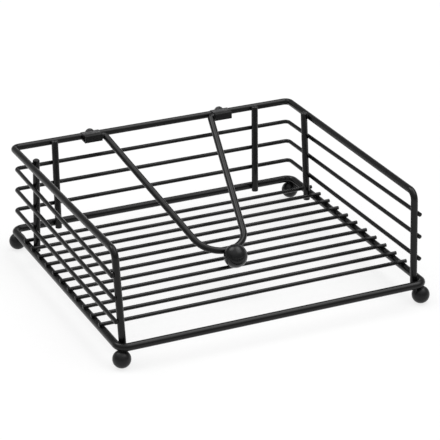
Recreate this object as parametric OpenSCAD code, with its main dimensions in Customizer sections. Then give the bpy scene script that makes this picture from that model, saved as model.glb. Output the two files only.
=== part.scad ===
// Flat napkin holder of bent and welded wire: an open-fronted basket with a
// swinging arm whose ball lies on the napkins.
// Millimetres, Z up, front towards -Y, standing on Z = 0.

/* [Base] */
// Width of the base, between the middles of its side wires
base_w = 188; // [165:0.5:215]
// Depth of the base, between the middles of its front and back wires
base_d = 174.3; // [150:0.1:200]
// Radius of the base's corner bends, to the middle of the wire
base_bend_r = 5.5; // [4.5:0.1:12]

/* [Basket] */
// Rise from the base's wire to the rim's wire, middle to middle
rim_rise = 53.3; // [42:0.1:70]
// Width of the rim over its posts, between the middles of its side wires
rim_w = 182.3; // [178:0.1:186]
// Width of the rim at its back, between the middles of its side wires
rim_back_w = 183.6; // [178:0.1:186]
// How far the rim's back wire stands in from the base's back wire
rim_back_inset = 0.3; // [0:0.1:3]
// How far the bend over each post stands in from the base's front wire
post_bend_inset = 9.95; // [6:0.05:25]
// How far the foot of each post stands in from the base's front wire
post_foot_inset = 6.05; // [4:0.05:12]
// Radius of the rim's two back bends, to the middle of the wire
rim_bend_r = 3.8; // [2.5:0.1:10]
// Radius of the bends from the rim down to the posts
post_bend_r = 5; // [3:0.1:12]

/* [Wires] */
// Thickness of the base's wire
base_wire_d = 4.5; // [3.5:0.1:5]
// Thickness of the wire of the rim, the posts and the struts
frame_wire_d = 4.1; // [3.5:0.1:4.5]
// Thickness of the side rails' wire
rail_wire_d = 2.5; // [1.8:0.1:3]
// Thickness of the floor wires
floor_wire_d = 2.3; // [1.8:0.1:3]
// How deep two wires sink into each other where they are welded
weld_sink = 0.25; // [0.1:0.05:0.4]
// How much a wire thins where it is bent tight, on its diameter
bend_thinning = 0.02; // [0.02:0.01:0.06]
// Height of the dome on a cut wire end, in shares of the wire's radius
end_dome_share = 0.3; // [0.1:0.05:0.6]

/* [Side rails and struts] */
// Radius of the rails' back bends, to the middle of the wire
rail_bend_r = 2.8; // [2:0.1:8]
// How far a rail runs on past the middle of the post that it meets
rail_tail = 1.7; // [1.5:0.1:4]
// Distance of each side strut in front of the base's back wire
side_strut_inset = 30.8; // [15:0.1:60]
// Distance of each back strut in from the base's side wire
back_strut_inset = 27.5; // [16:0.5:30]
// Height of a side strut's tip over the middle of the rim's wire
side_tip_rise = 3.5; // [2:0.1:6]
// Height of a back strut's tip over the middle of the rim's wire
back_tip_rise = 2.1; // [1:0.1:5]
// Height of the dome on a side strut's tip
tip_dome_h = 1.1; // [0.5:0.1:1.4]

/* [Floor] */
// Number of floor wires
floor_wires = 11; // [5:1:12]
// Distance between neighbouring floor wires, middle to middle
floor_pitch = 12.3; // [10:0.1:14]

/* [Feet] */
// Diameter of each ball foot
foot_d = 10.4; // [8:0.1:13]
// Depth of the flat that a ball foot stands on
foot_flat = 0.2; // [0.1:0.05:0.5]

/* [Arm] */
// Thickness of the arm's wire
arm_wire_d = 4; // [3.2:0.1:4.3]
// Half the width of the arm at its hinge, to the corner of the wire
arm_half_w = 35.2; // [28:0.1:45]
// Length of the arm, from its hinge pin to the middle of the wire at its tip
arm_reach = 109.8; // [85:0.1:125]
// Radius of the bend at the arm's tip, to the middle of the wire
tip_bend_r = 16; // [12:0.1:22]
// Radius of the bend from each leg to its hinge pin
pin_bend_r = 2.2; // [2.2:0.1:4]
// Diameter of the ball weight
ball_d = 14; // [11:0.1:18]
// How far the ball sits to the right of the arm's middle line
ball_shift = 1.3; // [-2.5:0.1:2.5]
// How far the middle of the ball lies above the plane of the arm
ball_lift = 2.9; // [0:0.1:5]
// Clearance between the lowered ball and the floor wire under it
ball_rest_gap = 0.3; // [0.2:0.05:1]

/* [Hinge] */
// How far the hinge and the arm sit to the right of the middle
hinge_shift = 0.8; // [-8:0.2:8]
// Distance from the middle of the rim's wire to the middle of the pin
pin_reach = 4.3; // [4.3:0.05:5.5]
// Angle by which the pin lies below the rim's wire, seen from the side
pin_drop_angle = 2; // [0:0.5:40]
// Length of each hinge clip along the rim
clip_l = 11.2; // [8:0.1:16]
// Thickness of the clip's strip
clip_t = 0.35; // [0.3:0.05:1]
// Height of the clip's fold round the pin, in shares of a round fold's height
fold_h_share = 0.97; // [0.93:0.01:0.99]
// Radius of the fold's front corners, in shares of a round fold's radius
fold_round_share = 1.3; // [1.05:0.05:1.35]
// Running clearance round the pin, on the radius
pin_play = 0.06; // [0.03:0.01:0.1]
// Clearance of the crimped clip round the rim's wire, on the radius
grip_gap = 0.02; // [0.01:0.01:0.05]
// Side play of the arm: the gap between each clip and the bend beside it
clip_side_gap = 0.5; // [0.4:0.05:1.5]
// How far the pin's end stays inside the clip
pin_end_inset = 0.9; // [0.8:0.1:1.5]
// Width of the pinched tab on top of each clip
tab_w = 5.9; // [5:0.1:8]
// Thickness of the pinched tab
tab_t = 1.2; // [0.8:0.1:2]
// Height of the tab's middle over the rim, in shares of the clip's lobe
tab_seat_share = 0.4; // [0.3:0.05:1]
// Angle by which the tab leans back
tab_lean = 30; // [0:1:35]

/* [Hidden] */
$fn = 48;
function two_digits(k) = str(k < 10 ? "0" : "", k);
function floor_name(k) = str("floor_wire_", two_digits(k));
FLOOR_NODES = [for (k = [1 : floor_wires]) floor_name(k)];

// One overrun for every cut that runs past a face
overrun = 1;
// How far a straight wire runs on before its bend starts to thin
bend_lap = 0.05;
coat = "#26272a";
ball_coat = "#2b2c30";

base_r = base_wire_d / 2;
frame_r = frame_wire_d / 2;
rail_r = rail_wire_d / 2;
floor_r = floor_wire_d / 2;
arm_r = arm_wire_d / 2;
foot_r = foot_d / 2;
ball_r = ball_d / 2;

// Heights
foot_z = foot_r - foot_flat;
base_z = foot_z + foot_r + base_r - weld_sink;
rim_z = base_z + rim_rise;
floor_z = base_z + base_r + floor_r - weld_sink;
wire_foot_z = base_z - base_r;

// Places seen from above
base_x = base_w / 2;
base_y = base_d / 2;
rim_x = rim_w / 2;
rim_back_x = rim_back_w / 2;
rim_y = base_y - rim_back_inset;
rim_weld = 2 * frame_r - weld_sink;
back_strut_x = base_x - back_strut_inset;
base_weld = base_r + frame_r - weld_sink;
foot_inset = base_bend_r * (1 - cos(45));

// Line of each thick upright: its foot in the base and its place at the rim
post_foot = [base_x - base_weld, post_foot_inset - base_y, base_z];
post_top = [rim_x, post_bend_inset - base_y, rim_z];
rim_back = [rim_back_x, rim_y, rim_z];
side_y = base_y - side_strut_inset;
rim_side_x = rim_x + (rim_back_x - rim_x) * (side_y - post_top.y) / (rim_y - post_top.y);
side_foot = [base_x - base_weld, side_y, base_z];
side_top = [rim_side_x - rim_weld, side_y, rim_z];
back_foot = [back_strut_x, base_y - base_weld, base_z];
back_top = [back_strut_x, rim_y - rim_weld, rim_z];

// Place of an upright's middle at height z
function along(foot, top, z) = foot + (top - foot) * (z - foot.z) / (top.z - foot.z);
function flip(p) = [-p.x, p.y, p.z];

base_corners = [[-base_x, -base_y, base_z], [base_x, -base_y, base_z],
    [base_x, base_y, base_z], [-base_x, base_y, base_z]];
post_end = along(post_foot, post_top, wire_foot_z);
rim_points = [flip(post_end), flip(post_top), flip(rim_back), rim_back, post_top, post_end];

// A rail lies on the outside of the posts and struts, and turns round the back
rail_lap = frame_r + rail_r - weld_sink;
function rail_x(z, y) = let (a = along(side_foot, side_top, z), b = along(post_foot, post_top, z))
    a.x + rail_lap + (b.x - a.x) * (y - a.y) / (b.y - a.y);
function rail_points(share) = let (z = base_z + rim_rise * share,
    end_y = along(post_foot, post_top, z).y - rail_tail,
    back_y = along(back_foot, back_top, z).y + rail_lap,
    end = [rail_x(z, end_y), end_y, z], back = [rail_x(z, back_y), back_y, z])
    [flip(end), flip(back), back, end];

// Hinge pin, and the arm's own plane: across, out along the arm, and up from it
pin_y = rim_y - pin_reach * cos(pin_drop_angle);
pin_z = rim_z - pin_reach * sin(pin_drop_angle);
tip_middle_s = arm_reach - tip_bend_r;
leg_angle = acos(tip_bend_r / norm([arm_half_w, tip_middle_s])) - atan2(tip_middle_s, arm_half_w);
ball_touch = ball_r + arm_r - weld_sink;
ball_round = tip_bend_r + sqrt(pow(ball_touch, 2) - pow(ball_lift, 2));
ball_s = tip_middle_s + sqrt(pow(ball_round, 2) - pow(ball_shift, 2));
ball_reach = norm([ball_s, ball_lift]);

// The arm comes down until its ball meets the first of the floor wires
function floor_y(k) = ((floor_wires + 1) / 2 - k) * floor_pitch;
rest_touch = ball_r + floor_r + ball_rest_gap;
function wire_dist(k) = norm([pin_y - floor_y(k), pin_z - floor_z]);
function wire_angle(k) = atan2(pin_z - floor_z, pin_y - floor_y(k));
function stop_cos(k) = (pow(ball_reach, 2) + pow(wire_dist(k), 2) - pow(rest_touch, 2))
    / (2 * ball_reach * wire_dist(k));
level_stop = asin(min(1, (pin_z - floor_z - rest_touch) / ball_reach));
wire_stops = [for (k = [1 : floor_wires])
    if (stop_cos(k) <= 1) wire_angle(k) - acos(stop_cos(k))];
arm_tilt = min(concat(wire_stops, len(wire_stops) == 0 ? [level_stop] : []))
    + atan2(ball_lift, ball_s);
function arm_point(x, s, up) = [hinge_shift + x,
    pin_y - s * cos(arm_tilt) - up * sin(arm_tilt),
    pin_z - s * sin(arm_tilt) + up * cos(arm_tilt)];

// Clips beside the arm's bends, and the pins that end inside them
pin_start = arm_half_w + pin_bend_r * tan((90 - leg_angle) / 2);
clip_start = pin_start + clip_side_gap;
pin_end = clip_start + clip_l - pin_end_inset;
leg_corner_s = arm_half_w / tan(leg_angle);
arm_points = [arm_point(-pin_end, 0, 0), arm_point(-arm_half_w, 0, 0), arm_point(0, leg_corner_s, 0),
    arm_point(arm_half_w, 0, 0), arm_point(pin_end, 0, 0)];
rim_lobe_r = frame_r + grip_gap + clip_t;
pin_fold_r = arm_r + pin_play + clip_t;
fold_half_h = pin_fold_r * fold_h_share;

function unit(v) = v / norm(v);
function turn(a, b, c) = acos(unit(b - a) * unit(c - b));
function bend_reach(a, b, c, r) = r * tan(turn(a, b, c) / 2);

// A low round cap of height h on a wire's end
module dome(d, h) {
    r = (d * d / 4 + h * h) / (2 * h);
    intersection() {
        translate([0, 0, h - r]) sphere(r = r);
        cylinder(h = h + overrun, r = d);
    }
}

// A straight wire from p to q, each end cut square or domed by the given height
module rod(p, q, d, dome_p = 0, dome_q = 0) {
    v = q - p;
    l = norm(v);
    translate(p)
        rotate([0, acos(v.z / l), atan2(v.y, v.x)]) {
            translate([0, 0, dome_p]) cylinder(h = l - dome_p - dome_q, d = d);
            if (dome_p > 0) translate([0, 0, dome_p]) mirror([0, 0, 1]) dome(d, dome_p);
            if (dome_q > 0) translate([0, 0, l - dome_q]) dome(d, dome_q);
        }
}

// The bend of a wire at corner b, on its way from a to c
module bend(a, b, c, d, r) {
    into = unit(b - a);
    out = unit(c - b);
    middle = b + unit(out - into) * r / cos(turn(a, b, c) / 2);
    x = unit(b - into * bend_reach(a, b, c, r) - middle);
    z = cross(x, into);
    multmatrix([[x.x, into.x, z.x, middle.x], [x.y, into.y, z.y, middle.y], [x.z, into.z, z.z, middle.z]])
        rotate_extrude(angle = turn(a, b, c))
            translate([r, 0])
                circle(d = d);
}

// A bent wire through the points, with a bend radius for each inner point
module bent_wire(points, d, radii, dome = 0) {
    last = len(points) - 1;
    for (i = [0 : last - 1]) {
        a = points[i];
        b = points[i + 1];
        cut_a = i == 0 ? 0 : bend_reach(points[i - 1], a, b, radii[i - 1]) - bend_lap;
        cut_b = i == last - 1 ? 0 : bend_reach(a, b, points[i + 2], radii[i]) - bend_lap;
        along = unit(b - a);
        rod(a + along * cut_a, b - along * cut_b, d, i == 0 ? dome : 0, i == last - 1 ? dome : 0);
    }
    for (i = [1 : last - 1])
        bend(points[i - 1], points[i], points[i + 1], d - bend_thinning, radii[i - 1]);
}

// One side of the base, from corner i to the next, between their bends
module base_side(i) {
    a = base_corners[i];
    b = base_corners[(i + 1) % 4];
    rod(a + unit(b - a) * base_bend_r, b - unit(b - a) * base_bend_r, base_wire_d);
}

module base_bend(i) {
    bend(base_corners[(i + 3) % 4], base_corners[i], base_corners[(i + 1) % 4], base_wire_d, base_bend_r);
}

// The stretch of a thick upright that a rail at height z is welded to
module upright_at(foot, top, z) {
    rod(along(foot, top, z - frame_wire_d), along(foot, top, z + frame_wire_d), frame_wire_d);
}

module base_ring() color(coat) {
    for (i = [0 : 3]) {
        base_side(i);
        base_bend(i);
    }
}

module top_rim() color(coat) difference() {
    bent_wire(rim_points, frame_wire_d, [post_bend_r, rim_bend_r, rim_bend_r, post_bend_r]);
    base_side(1);
    base_side(3);
    base_bend(0);
    base_bend(1);
}

module side_rail(share) color(coat) difference() {
    z = base_z + rim_rise * share;
    bent_wire(rail_points(share), rail_wire_d, [rail_bend_r, rail_bend_r], rail_r * end_dome_share);
    for (side = [0, 1]) mirror([side, 0, 0]) {
        upright_at(post_foot, post_top, z);
        upright_at(side_foot, side_top, z);
        upright_at(back_foot, back_top, z);
    }
}

module upper_side_rail() side_rail(3 / 4);
module middle_side_rail() side_rail(1 / 2);
module lower_side_rail() side_rail(1 / 4);

// A strut stands inside the rim and the base, welded to both
module strut(foot, top, tip_rise, dome) color(coat) difference() {
    rod(along(foot, top, wire_foot_z), along(foot, top, rim_z + tip_rise), frame_wire_d, 0, dome);
    children();
}

module side_strut() strut(side_foot, side_top, side_tip_rise, tip_dome_h) {
    rod([base_x, -base_y, base_z], [base_x, base_y, base_z], base_wire_d);
    rod(post_top, rim_back, frame_wire_d);
}

module back_strut() strut(back_foot, back_top, back_tip_rise, frame_r * end_dome_share) {
    rod([0, base_y, base_z], [base_x, base_y, base_z], base_wire_d);
    rod([0, rim_y, rim_z], rim_back, frame_wire_d);
}

module right_strut() side_strut();
module left_strut() mirror([1, 0, 0]) side_strut();
module back_right_strut() back_strut();
module back_left_strut() mirror([1, 0, 0]) back_strut();

// A floor wire lies across the base's sides, and ends flush with them
module floor_wire(k) color(coat) difference() {
    end_x = base_x + base_r;
    dome = floor_r * end_dome_share;
    rod([-end_x, floor_y(k), floor_z], [end_x, floor_y(k), floor_z], floor_wire_d, dome, dome);
    base_side(1);
    base_side(3);
}

// A ball foot sits under the middle of the base's corner bend
module foot(i) color(ball_coat) difference() {
    corner = base_corners[i];
    translate([corner.x - sign(corner.x) * foot_inset, corner.y - sign(corner.y) * foot_inset, foot_z])
        sphere(d = foot_d);
    base_bend(i);
    translate([corner.x - foot_d, corner.y - foot_d, -foot_d])
        cube([2 * foot_d, 2 * foot_d, foot_d]);
}

module foot_front_left() foot(0);
module foot_front_right() foot(1);
module foot_back_right() foot(2);
module foot_back_left() foot(3);

// The fold of the clip's strip round the pin: flat in front, with round corners
module pin_fold() intersection() {
    translate([0, -pin_reach - pin_fold_r, -fold_half_h])
        cube([clip_l, pin_reach + pin_fold_r, 2 * fold_half_h]);
    union() {
        translate([-overrun, -pin_reach, 0]) rotate([0, 90, 0])
            cylinder(h = clip_l + 2 * overrun, r = pin_fold_r * fold_round_share);
        translate([-overrun, -pin_reach, -pin_reach])
            cube([clip_l + 2 * overrun, pin_reach + overrun, 2 * pin_reach]);
    }
}

// A strip crimped round the rim, and folded round the pin in front of it
module hinge_clip() color(coat)
    translate([hinge_shift + clip_start, rim_y, rim_z]) difference() {
        rotate([pin_drop_angle, 0, 0]) union() {
            rotate([0, 90, 0]) cylinder(h = clip_l, r = rim_lobe_r);
            pin_fold();
            rotate([-pin_drop_angle - tab_lean, 0, 0])
                translate([clip_l / 2, tab_t / 2, rim_lobe_r * tab_seat_share])
                    rotate([90, 0, 0]) cylinder(h = tab_t, d = tab_w);
        }
        translate([-overrun, 0, 0]) rotate([0, 90, 0])
            cylinder(h = clip_l + 2 * overrun, r = frame_r + grip_gap);
        translate([-overrun, pin_y - rim_y, pin_z - rim_z]) rotate([0, 90, 0])
            cylinder(h = clip_l + 2 * overrun, r = arm_r + pin_play);
    }

module right_hinge_clip() hinge_clip();
module left_hinge_clip()
    translate([2 * hinge_shift, 0, 0]) mirror([1, 0, 0]) hinge_clip();

module arm_wire() color(coat)
    bent_wire(arm_points, arm_wire_d, [pin_bend_r, tip_bend_r, pin_bend_r]);

module arm_ball() color(ball_coat) difference() {
    translate(arm_point(ball_shift, ball_s, ball_lift)) sphere(d = ball_d);
    bend(arm_points[1], arm_points[2], arm_points[3], arm_wire_d, tip_bend_r);
}

base_ring();
top_rim();
upper_side_rail();
middle_side_rail();
lower_side_rail();
left_strut();
right_strut();
back_left_strut();
back_right_strut();
for (k = [1 : floor_wires]) floor_wire(k);
foot_front_left();
foot_front_right();
foot_back_left();
foot_back_right();
left_hinge_clip();
right_hinge_clip();
arm_wire();
arm_ball();
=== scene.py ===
import math
import random

import bmesh
import bpy
from mathutils import Matrix, Vector


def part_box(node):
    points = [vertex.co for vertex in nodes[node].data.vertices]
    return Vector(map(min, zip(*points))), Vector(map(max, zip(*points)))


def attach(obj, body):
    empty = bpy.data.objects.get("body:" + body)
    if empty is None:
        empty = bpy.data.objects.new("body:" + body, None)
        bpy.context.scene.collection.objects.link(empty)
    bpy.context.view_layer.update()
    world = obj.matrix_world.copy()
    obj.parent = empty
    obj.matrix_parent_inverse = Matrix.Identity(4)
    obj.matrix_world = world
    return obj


# A flat napkin holder of black coated wire. Metres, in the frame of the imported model.
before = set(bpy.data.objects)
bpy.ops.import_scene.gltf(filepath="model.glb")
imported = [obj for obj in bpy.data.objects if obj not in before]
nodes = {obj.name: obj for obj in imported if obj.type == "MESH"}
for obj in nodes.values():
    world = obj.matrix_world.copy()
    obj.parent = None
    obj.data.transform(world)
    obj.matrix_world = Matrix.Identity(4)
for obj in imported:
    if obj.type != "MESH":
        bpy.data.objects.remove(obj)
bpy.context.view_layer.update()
MM = 0.001
X_WAY = Vector((1, 0, 0))
Y_WAY = Vector((0, 1, 0))
Z_WAY = Vector((0, 0, 1))

# Camera, as the photograph was taken
VIEW_PLACE = Vector((-0.44222, -1.00385, 0.52079))
VIEW_AZIMUTH = math.radians(24.104)
VIEW_ELEVATION = math.radians(23.880)
VIEW_ROLL = math.radians(-0.655)
LENS = 167.28
SENSOR = 36
SHIFT_X = -0.0072
SHIFT_Y = 0.0001

# Floor. The glow share is how much of its white it gives by itself, which keeps its shadows faint.
FLOOR_HALF = 30
FLOOR_WHITE = (1, 1, 1, 1)
FLOOR_BOUNCE = (0.8, 0.8, 0.8, 1)
FLOOR_GLOW_SHARE = 0.76

# Brightness of the studio by height, from the horizon to overhead, on the camera's side and on the
# far side. The far side's takes over from sideways to where a direction is this much ahead. A curve
# holds at most 1, so brightness is divided by the scale, and the world multiplies it back.
SKY_SCALE = 2
SKY_FRONT = [(0.0, 0.40), (0.15, 0.45), (0.4, 0.58), (0.64, 0.85), (0.95, 1.25)]
SKY_BACK = [(0.0, 0.75), (0.28, 0.48), (0.40, 0.35), (0.54, 0.25), (0.90, 0.50)]
ALL_FAR_SIDE = 0.6
# Soft lights overhead: the way to each as right, ahead and up, its half angle where it is full
# and where it ends in degrees, and its brightness
SOFT_LIGHTS = [
    ((-0.45, 0.30, 0.84), 3, 24, 3.2),
    ((0.28, 0.34, 0.90), 3, 23, 2.8),
    ((0.48, -0.10, 0.87), 6, 28, 1.8),
]

# Powder coat: darkest and lightest colour, roughness where glossy and where dull, specular level
WIRE_BLACKS = [(0.0017, 0.0017, 0.0018), (0.0034, 0.0034, 0.0035)]
BALL_BLACKS = [(0.0018, 0.0019, 0.0022), (0.0036, 0.0038, 0.0043)]
SATIN = (0.18, 0.28)
DULL_SATIN = (0.32, 0.44)
WIRE_SPECULAR = 0.25
BALL_SPECULAR = 0.31
FOOT_SPECULAR = 0.27
# Its noises, each by size and detail, with the range that is used, or a bump's strength and depth
MOTTLE = (9 * MM, 3)
MOTTLE_RANGE = (0.35, 0.65)
GLOSS = (2.5 * MM, 4)
GLOSS_RANGE = (0.3, 0.7)
PEEL = (0.9 * MM, 1)
PEEL_STRENGTH = 0.25
PEEL_DEPTH = 0.03 * MM
GRAIN = (0.16 * MM, 2)
GRAIN_STRENGTH = 0.2
GRAIN_DEPTH = 0.01 * MM

# Painted highlight of the hinge clips, a lighter grey on the tab and in a band on the top, broken
# into patches: how strong it is at most, how far behind the front the band's middle lies, and how
# far from there it is full and where it ends
PAINTED_HIGHLIGHT_GREY = (0.120, 0.120, 0.122, 1)
HIGHLIGHT_PATCHES = (0.7 * MM, 3)
HIGHLIGHT_PATCHES_RANGE = (0.35, 0.60)
TAB_RISE = 1.5 * MM
TAB_HIGHLIGHT = 1.2
TOP_HIGHLIGHT = 0.9
TOP_HIGHLIGHT_BACK = 5.0 * MM
TOP_HIGHLIGHT_FULL = 1.0 * MM
TOP_HIGHLIGHT_END = 2.8 * MM

# Sizes of the welded wires that the boxes of their nodes don't give
WELD_SINK = 0.25 * MM
RAIL_TAIL = 1.7 * MM
POST_TOP_X = 91.15 * MM
ARM_R = 2.0 * MM

# Nodes of one kind
RAILS = ["lower_side_rail", "middle_side_rail", "upper_side_rail"]
FEET = ["foot_front_left", "foot_front_right", "foot_back_left", "foot_back_right"]

# Weld beads
BEAD_HEIGHT = 0.5 * MM
BEAD_HEIGHT_SPREAD = (0.85, 1.15)
BEAD_PULL_SHARE = 0.5
BEAD_WOBBLE_SHARE = 0.12
BEAD_LOBES = 3
BEAD_SUNK = 0.12 * MM
BEAD_SUNK_SHARE = 0.8
BEAD_REACH_LIMIT = 0.97
BEAD_SPOKES = 36
BEAD_ROWS = 8
REACH_HALVINGS = 24
rng = random.Random(7)


class Tree:
    """The node tree of a material or a world, with short ways to add nodes to it."""

    def __init__(self, data):
        data.use_nodes = True
        self.nodes = data.node_tree.nodes
        self.links = data.node_tree.links

    def add(self, kind, inputs=(), **settings):
        """A new node with its settings, and its inputs either linked or set."""
        made = self.nodes.new(kind)
        for key, value in settings.items():
            setattr(made, key, value)
        for socket, value in inputs:
            if isinstance(value, bpy.types.NodeSocket):
                self.links.new(value, made.inputs[socket])
            else:
                made.inputs[socket].default_value = value
        return made

    def combined(self, operation, first, second):
        made = self.add("ShaderNodeMath", [(0, first), (1, second)], operation=operation)
        return made.outputs[0]

    def noise(self, place, size, detail):
        made = self.add("ShaderNodeTexNoise", [("Vector", place), ("Scale", 1 / size), ("Detail", detail)])
        return made.outputs["Fac"]

    def ranged(self, value, start, end, low=0, high=1, **settings):
        """The value with start to end turned into low to high, and nothing outside them."""
        made = self.add("ShaderNodeMapRange",
                        [("Value", value), ("From Min", start), ("From Max", end),
                         ("To Min", low), ("To Max", high)], **settings)
        return made.outputs["Result"]


def powder_coat(name, blacks, roughness, specular, painted_highlight=None):
    """Satin powder coat: mottled colour and gloss, orange peel, fine grain, and a painted highlight where
    one is given.
    """
    material = bpy.data.materials.new(name)
    tree = Tree(material)
    shader = tree.nodes["Principled BSDF"]
    place = tree.add("ShaderNodeTexCoord").outputs["Object"]

    ramp = tree.add("ShaderNodeValToRGB", [("Fac", tree.noise(place, *MOTTLE))])
    for stop, position, black in zip(ramp.color_ramp.elements, MOTTLE_RANGE, blacks):
        stop.position = position
        stop.color = (*black, 1)
    colour = ramp.outputs["Color"]
    # Painted highlight: a lighter grey mixed into the colour where the given mask says, broken into patches
    if painted_highlight:
        patches = tree.ranged(tree.noise(place, *HIGHLIGHT_PATCHES), *HIGHLIGHT_PATCHES_RANGE)
        amount = tree.combined("MULTIPLY", painted_highlight(tree, place), patches)
        mixed = tree.add("ShaderNodeMixRGB", [("Fac", amount), ("Color1", colour), ("Color2", PAINTED_HIGHLIGHT_GREY)])
        colour = mixed.outputs["Color"]
    tree.links.new(colour, shader.inputs["Base Color"])

    gloss = tree.ranged(tree.noise(place, *GLOSS), *GLOSS_RANGE, *roughness)
    tree.links.new(gloss, shader.inputs["Roughness"])
    shader.inputs["Specular IOR Level"].default_value = specular

    peel = tree.add("ShaderNodeBump",
                    [("Height", tree.noise(place, *PEEL)), ("Strength", PEEL_STRENGTH),
                     ("Distance", PEEL_DEPTH)])
    grain = tree.add("ShaderNodeBump",
                     [("Height", tree.noise(place, *GRAIN)), ("Strength", GRAIN_STRENGTH),
                      ("Distance", GRAIN_DEPTH), ("Normal", peel.outputs["Normal"])])
    tree.links.new(grain.outputs["Normal"], shader.inputs["Normal"])
    return material


def clip_painted_highlight(tree, place):
    """Painted highlight of a hinge clip, a lighter grey on its pinched tab and in a band on its top beside
    the tab.

    Both clips lie equally far back and equally high, so the left one's box serves for both.
    """
    low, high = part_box("left_hinge_clip")
    tab_foot = high.z - TAB_RISE
    at = tree.add("ShaderNodeSeparateXYZ", [(0, place)])
    tab = tree.ranged(at.outputs["Z"], tab_foot, high.z - TAB_RISE / 2, 0, TAB_HIGHLIGHT)
    flat = tree.add("ShaderNodeCombineXYZ", [("Y", at.outputs["Y"]), ("Z", at.outputs["Z"])])
    away = tree.add("ShaderNodeVectorMath",
                    [(0, flat.outputs[0]), (1, (0, low.y + TOP_HIGHLIGHT_BACK, tab_foot))],
                    operation="DISTANCE")
    top = tree.ranged(away.outputs["Value"], TOP_HIGHLIGHT_FULL, TOP_HIGHLIGHT_END, TOP_HIGHLIGHT, 0)
    return tree.combined("MAXIMUM", tab, top)


wire_coat = powder_coat("wire_coat", WIRE_BLACKS, SATIN, WIRE_SPECULAR)
# The clips' coat has a painted highlight on the tab and on the top
clip_coat = powder_coat("clip_coat", WIRE_BLACKS, DULL_SATIN, WIRE_SPECULAR, clip_painted_highlight)
ball_coat = powder_coat("ball_coat", BALL_BLACKS, SATIN, BALL_SPECULAR)
foot_coat = powder_coat("foot_coat", BALL_BLACKS, DULL_SATIN, FOOT_SPECULAR)
coats = {"arm_ball": ball_coat, "left_hinge_clip": clip_coat, "right_hinge_clip": clip_coat}
coats.update({name: foot_coat for name in FEET})
for name, node in nodes.items():
    node.data.materials.clear()
    node.data.materials.append(coats.get(name, wire_coat))


# Lines of the wires, from the boxes of their nodes
base_low, base_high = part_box("base_ring")
base_r = (base_high.z - base_low.z) / 2
base_z = base_low.z + base_r
base_x = base_high.x - base_r
base_y = base_high.y - base_r
strut_low, strut_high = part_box("back_right_strut")
frame_r = (strut_high.x - strut_low.x) / 2
rim_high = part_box("top_rim")[1]
rim_z = rim_high.z - frame_r
rim_y = rim_high.y - frame_r
rail_low, rail_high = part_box("upper_side_rail")
rail_r = (rail_high.z - rail_low.z) / 2
rim_lap = 2 * frame_r - WELD_SINK
base_lap = base_r + frame_r - WELD_SINK


def on_line(line, z):
    """The point of a line (its foot and its top) at height z."""
    foot, top = line
    return foot + (top - foot) * ((z - foot.z) / (top.z - foot.z))


def side_strut_line():
    low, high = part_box("right_strut")
    y = (low.y + high.y) / 2
    return Vector((base_x - base_lap, y, base_z)), Vector((low.x + frame_r, y, high.z))


def back_strut_line():
    x = (strut_low.x + strut_high.x) / 2
    return Vector((x, base_y - base_lap, base_z)), Vector((x, rim_y - rim_lap, rim_z))


def post_line():
    """The post's foot stands inside the base's side, and its top is under the rim's front bend."""
    boxes = [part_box("lower_side_rail"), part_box("upper_side_rail")]
    heights = [high.z - rail_r for low, high in boxes]
    ends = [low.y + RAIL_TAIL for low, high in boxes]
    slope = (ends[1] - ends[0]) / (heights[1] - heights[0])
    foot = Vector((base_x - base_lap, ends[0] + slope * (base_z - heights[0]), base_z))
    top = Vector((POST_TOP_X, ends[0] + slope * (rim_z - heights[0]), rim_z))
    return foot, top


class Part:
    """Where a bead sits on one piece: its radius, and the way it runs, or None for a ball."""

    def __init__(self, radius, way=None):
        self.radius = radius
        self.way = way.normalized() if way else None

    def drop(self, reach, spoke):
        """How far its surface falls away from the tangent plane, reach out along a spoke."""
        across = 1 if self.way is None else math.sqrt(max(0, 1 - spoke.dot(self.way) ** 2))
        return self.radius - math.sqrt(max(0, self.radius ** 2 - (reach * across) ** 2))


def bead_reach(first, second, spoke, height, limit):
    """How far out along a spoke the gap between two pieces grows to the bead's height."""
    low, high = 0, limit
    for _ in range(REACH_HALVINGS):
        middle = (low + high) / 2
        if first.drop(middle, spoke) + second.drop(middle, spoke) - WELD_SINK < height:
            low = middle
        else:
            high = middle
    return low


def touch(first_middle, first_r, second_middle, second_r):
    """The middle of the lapped zone between two middles, and the way from one to the other."""
    way = (second_middle - first_middle).normalized()
    reach = first_r + ((second_middle - first_middle).length - first_r - second_r) / 2
    return first_middle + way * reach, way


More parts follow.
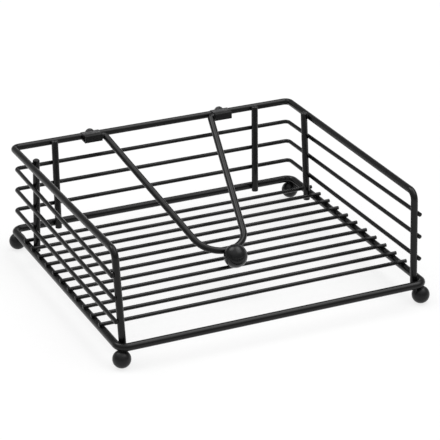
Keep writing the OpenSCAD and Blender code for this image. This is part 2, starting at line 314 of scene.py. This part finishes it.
def add_bead(mesh, at, normal, first, second):
    """A closed fillet round the touch of two pieces. The normal runs from the first to the second."""
    z = normal.normalized()
    x = z.orthogonal().normalized()
    y = z.cross(x)
    height = BEAD_HEIGHT * rng.uniform(*BEAD_HEIGHT_SPREAD)
    phase = rng.uniform(0, 2 * math.pi)
    limit = BEAD_REACH_LIMIT * min(first.radius, second.radius)
    rings = []
    for row in range(-1, BEAD_ROWS + 2):
        share = min(max(row, 0), BEAD_ROWS) / BEAD_ROWS
        ring = []
        for k in range(BEAD_SPOKES):
            angle = 2 * math.pi * k / BEAD_SPOKES
            spoke = x * math.cos(angle) + y * math.sin(angle)
            wobble = 1 + BEAD_WOBBLE_SHARE * math.sin(BEAD_LOBES * angle + phase) * math.sin(angle - phase)
            reach = bead_reach(first, second, spoke, height * wobble, limit)
            low = WELD_SINK / 2 - first.drop(reach, spoke)
            high = second.drop(reach, spoke) - WELD_SINK / 2
            pulled = reach - BEAD_PULL_SHARE * (high - low) * math.sin(math.pi * share)
            level = low + (high - low) * share
            if row < 0:
                level -= BEAD_SUNK
                pulled *= BEAD_SUNK_SHARE
            if row > BEAD_ROWS:
                level += BEAD_SUNK
                pulled *= BEAD_SUNK_SHARE
            ring.append(mesh.verts.new(at + spoke * pulled + z * level))
        rings.append(ring)
    for lower, upper in zip(rings, rings[1:]):
        for k in range(BEAD_SPOKES):
            after = (k + 1) % BEAD_SPOKES
            mesh.faces.new((lower[k], lower[after], upper[after], upper[k]))
    mesh.faces.new(list(reversed(rings[0])))
    mesh.faces.new(rings[-1])


def add_object(name, mesh, material):
    data = bpy.data.meshes.new(name)
    mesh.normal_update()
    mesh.to_mesh(data)
    mesh.free()
    data.materials.append(material)
    made = bpy.data.objects.new(name, data)
    bpy.context.scene.collection.objects.link(made)
    return made


def beads(name, welds, body="basket"):
    """One piece with a bead for each weld: (middle, part) of the one piece and of the other."""
    mesh = bmesh.new()
    for (first_middle, first), (second_middle, second) in welds:
        at, normal = touch(first_middle, first.radius, second_middle, second.radius)
        add_bead(mesh, at, normal, first, second)
    piece = add_object(name, mesh, wire_coat)
    polygons = piece.data.polygons
    polygons.foreach_set("use_smooth", [True] * len(polygons))
    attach(piece, body)


def flipped(point):
    return Vector((-point.x, point.y, point.z))


def flipped_end(end):
    middle, part = end
    return flipped(middle), Part(part.radius, flipped(part.way))


def rail_welds(line, outward, way):
    """The three welds of an upright with the rails that pass it on its outside."""
    upright = line[1] - line[0]
    found = []
    for name in RAILS:
        middle = on_line(line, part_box(name)[1].z - rail_r)
        rail = middle + outward * (frame_r + rail_r - WELD_SINK)
        found.append(((middle, Part(frame_r, upright)), (rail, Part(rail_r, way))))
    return found


def end_weld(line, z, outward, way, lap, radius):
    """The weld of an upright with the base or the rim, whose wire passes it on its outside."""
    middle = on_line(line, z)
    upright = line[1] - line[0]
    return (middle, Part(frame_r, upright)), (middle + outward * lap, Part(radius, way))


# Beads of the floor wires
for name in sorted(name for name in nodes if name.startswith("floor_wire_")):
    low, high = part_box(name)
    middle = (low + high) / 2
    floor_part = Part((high.z - low.z) / 2, X_WAY)
    beads(f"{name}_welds",
          [((Vector((side * base_x, middle.y, base_z)), Part(base_r, Y_WAY)),
            (Vector((side * base_x, middle.y, middle.z)), floor_part)) for side in (-1, 1)])

# Beads of the struts and posts, on the right and mirrored on the left
side_strut = side_strut_line()
side_welds = rail_welds(side_strut, X_WAY, Y_WAY)
side_welds.append(end_weld(side_strut, base_z, X_WAY, Y_WAY, base_lap, base_r))
side_welds.append(end_weld(side_strut, rim_z, X_WAY, Y_WAY, rim_lap, frame_r))
back_strut = back_strut_line()
back_welds = rail_welds(back_strut, Y_WAY, X_WAY)
back_welds.append(end_weld(back_strut, base_z, Y_WAY, X_WAY, base_lap, base_r))
back_welds.append(end_weld(back_strut, rim_z, Y_WAY, X_WAY, rim_lap, frame_r))
post = post_line()
post_welds = rail_welds(post, X_WAY, Y_WAY)
post_welds.append(end_weld(post, base_z, X_WAY, Y_WAY, base_lap, base_r))
for right_name, left_name, welds in (("right_strut", "left_strut", side_welds),
                                     ("back_right_strut", "back_left_strut", back_welds),
                                     ("right_post", "left_post", post_welds)):
    beads(f"{right_name}_welds", welds)
    beads(f"{left_name}_welds", [(flipped_end(first), flipped_end(second)) for first, second in welds])

# Beads of the feet, under the base's bends
for name in FEET:
    low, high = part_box(name)
    foot_r = (high.x - low.x) / 2
    middle = (low + high) / 2
    corner = Vector((math.copysign(1, middle.x), math.copysign(1, middle.y), 0))
    foot_middle = Vector((middle.x, middle.y, base_z - base_r - foot_r + WELD_SINK))
    wire_middle = Vector((middle.x, middle.y, base_z))
    beads(f"{name}_weld", [((foot_middle, Part(foot_r)), (wire_middle, Part(base_r, Z_WAY.cross(corner))))])

# Bead of the arm's ball
ball_low, ball_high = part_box("arm_ball")
ball_middle = (ball_low + ball_high) / 2
ball_r = (ball_high.z - ball_low.z) / 2
arm = nodes["arm_wire"]
into_arm = arm.matrix_world.inverted()
near = arm.matrix_world @ arm.closest_point_on_mesh(into_arm @ ball_middle)[1]
to_ball = (ball_middle - near).normalized()
wire_middle = ball_middle - to_ball * (ball_r + ARM_R - WELD_SINK)
across = X_WAY - to_ball * X_WAY.dot(to_ball)
beads("arm_ball_weld", [((wire_middle, Part(ARM_R, across)), (ball_middle, Part(ball_r)))], "arm")


def floor_material():
    """White to the camera and in reflections, with the object's shadow, and pale to all other light."""
    material = bpy.data.materials.new("floor_white")
    tree = Tree(material)
    tree.nodes.remove(tree.nodes["Principled BSDF"])
    path = tree.add("ShaderNodeLightPath").outputs
    seen = tree.combined("ADD", path["Is Camera Ray"], path["Is Glossy Ray"])
    seen = tree.combined("ADD", seen, path["Is Transmission Ray"])
    bounce = tree.add("ShaderNodeBsdfDiffuse", [("Color", FLOOR_BOUNCE)])
    glow = tree.add("ShaderNodeEmission", [("Color", FLOOR_WHITE), ("Strength", 1)])
    white = tree.add("ShaderNodeMixShader",
                     [(0, FLOOR_GLOW_SHARE), (1, bounce.outputs[0]), (2, glow.outputs[0])])
    both = tree.add("ShaderNodeMixShader", [(0, seen), (1, bounce.outputs[0]), (2, white.outputs[0])])
    tree.links.new(both.outputs[0], tree.nodes["Material Output"].inputs["Surface"])
    return material


def add_floor():
    mesh = bmesh.new()
    corners = [(-1, -1), (1, -1), (1, 1), (-1, 1)]
    mesh.faces.new([mesh.verts.new((x * FLOOR_HALF, y * FLOOR_HALF, 0)) for x, y in corners])
    add_object("floor", mesh, floor_material())


def sky(ahead, right):
    """A soft studio, whose brightness goes by height, with soft lights overhead."""
    world = bpy.data.worlds.new("studio")
    bpy.context.scene.world = world
    tree = Tree(world)
    way = tree.add("ShaderNodeTexCoord").outputs["Generated"]
    height = tree.add("ShaderNodeSeparateXYZ", [(0, way)]).outputs["Z"]

    def along(direction):
        made = tree.add("ShaderNodeVectorMath", [(0, way), (1, direction)], operation="DOT_PRODUCT")
        return made.outputs["Value"]

    def level(stops):
        curve = tree.add("ShaderNodeFloatCurve", [("Value", height)])
        points = curve.mapping.curves[0].points
        while len(points) < len(stops):
            points.new(*stops[0])
        for point, (place, brightness) in zip(points, stops):
            point.location = (place, brightness / SKY_SCALE)
        curve.mapping.update()
        return curve.outputs["Value"]

    back = tree.ranged(along(ahead), 0, ALL_FAR_SIDE)
    both = tree.add("ShaderNodeMix", [("Factor", back), ("A", level(SKY_FRONT)), ("B", level(SKY_BACK))])
    total = both.outputs["Result"]
    for (to_right, forward, up), full, end, brightness in SOFT_LIGHTS:
        middle = (right * to_right + ahead * forward + Z_WAY * up).normalized()
        edge = math.cos(math.radians(end))
        core = math.cos(math.radians(full))
        glow = tree.ranged(along(middle), edge, core, 0, brightness / SKY_SCALE,
                           interpolation_type="SMOOTHSTEP")
        total = tree.combined("ADD", total, glow)
    background = tree.nodes["Background"]
    tree.links.new(total, background.inputs["Color"])
    background.inputs["Strength"].default_value = SKY_SCALE


def place_camera(ahead, right):
    ahead_down = ahead * math.cos(VIEW_ELEVATION) - Z_WAY * math.sin(VIEW_ELEVATION)
    up = right.cross(ahead_down)
    rolled_right = right * math.cos(VIEW_ROLL) + up * math.sin(VIEW_ROLL)
    rolled_up = up * math.cos(VIEW_ROLL) - right * math.sin(VIEW_ROLL)
    data = bpy.data.cameras.new("camera")
    data.lens = LENS
    data.sensor_width = SENSOR
    data.shift_x = SHIFT_X
    data.shift_y = SHIFT_Y
    camera = bpy.data.objects.new("camera", data)
    turned = Matrix((rolled_right, rolled_up, -ahead_down)).transposed()
    camera.matrix_world = Matrix.Translation(VIEW_PLACE) @ turned.to_4x4()
    bpy.context.scene.collection.objects.link(camera)
    bpy.context.scene.camera = camera


# Floor, light and camera
view_ahead = Vector((math.sin(VIEW_AZIMUTH), math.cos(VIEW_AZIMUTH), 0))
view_right = Vector((math.cos(VIEW_AZIMUTH), -math.sin(VIEW_AZIMUTH), 0))
add_floor()
sky(view_ahead, view_right)
place_camera(view_ahead, view_right)
bpy.context.scene.view_settings.view_transform = "Standard"
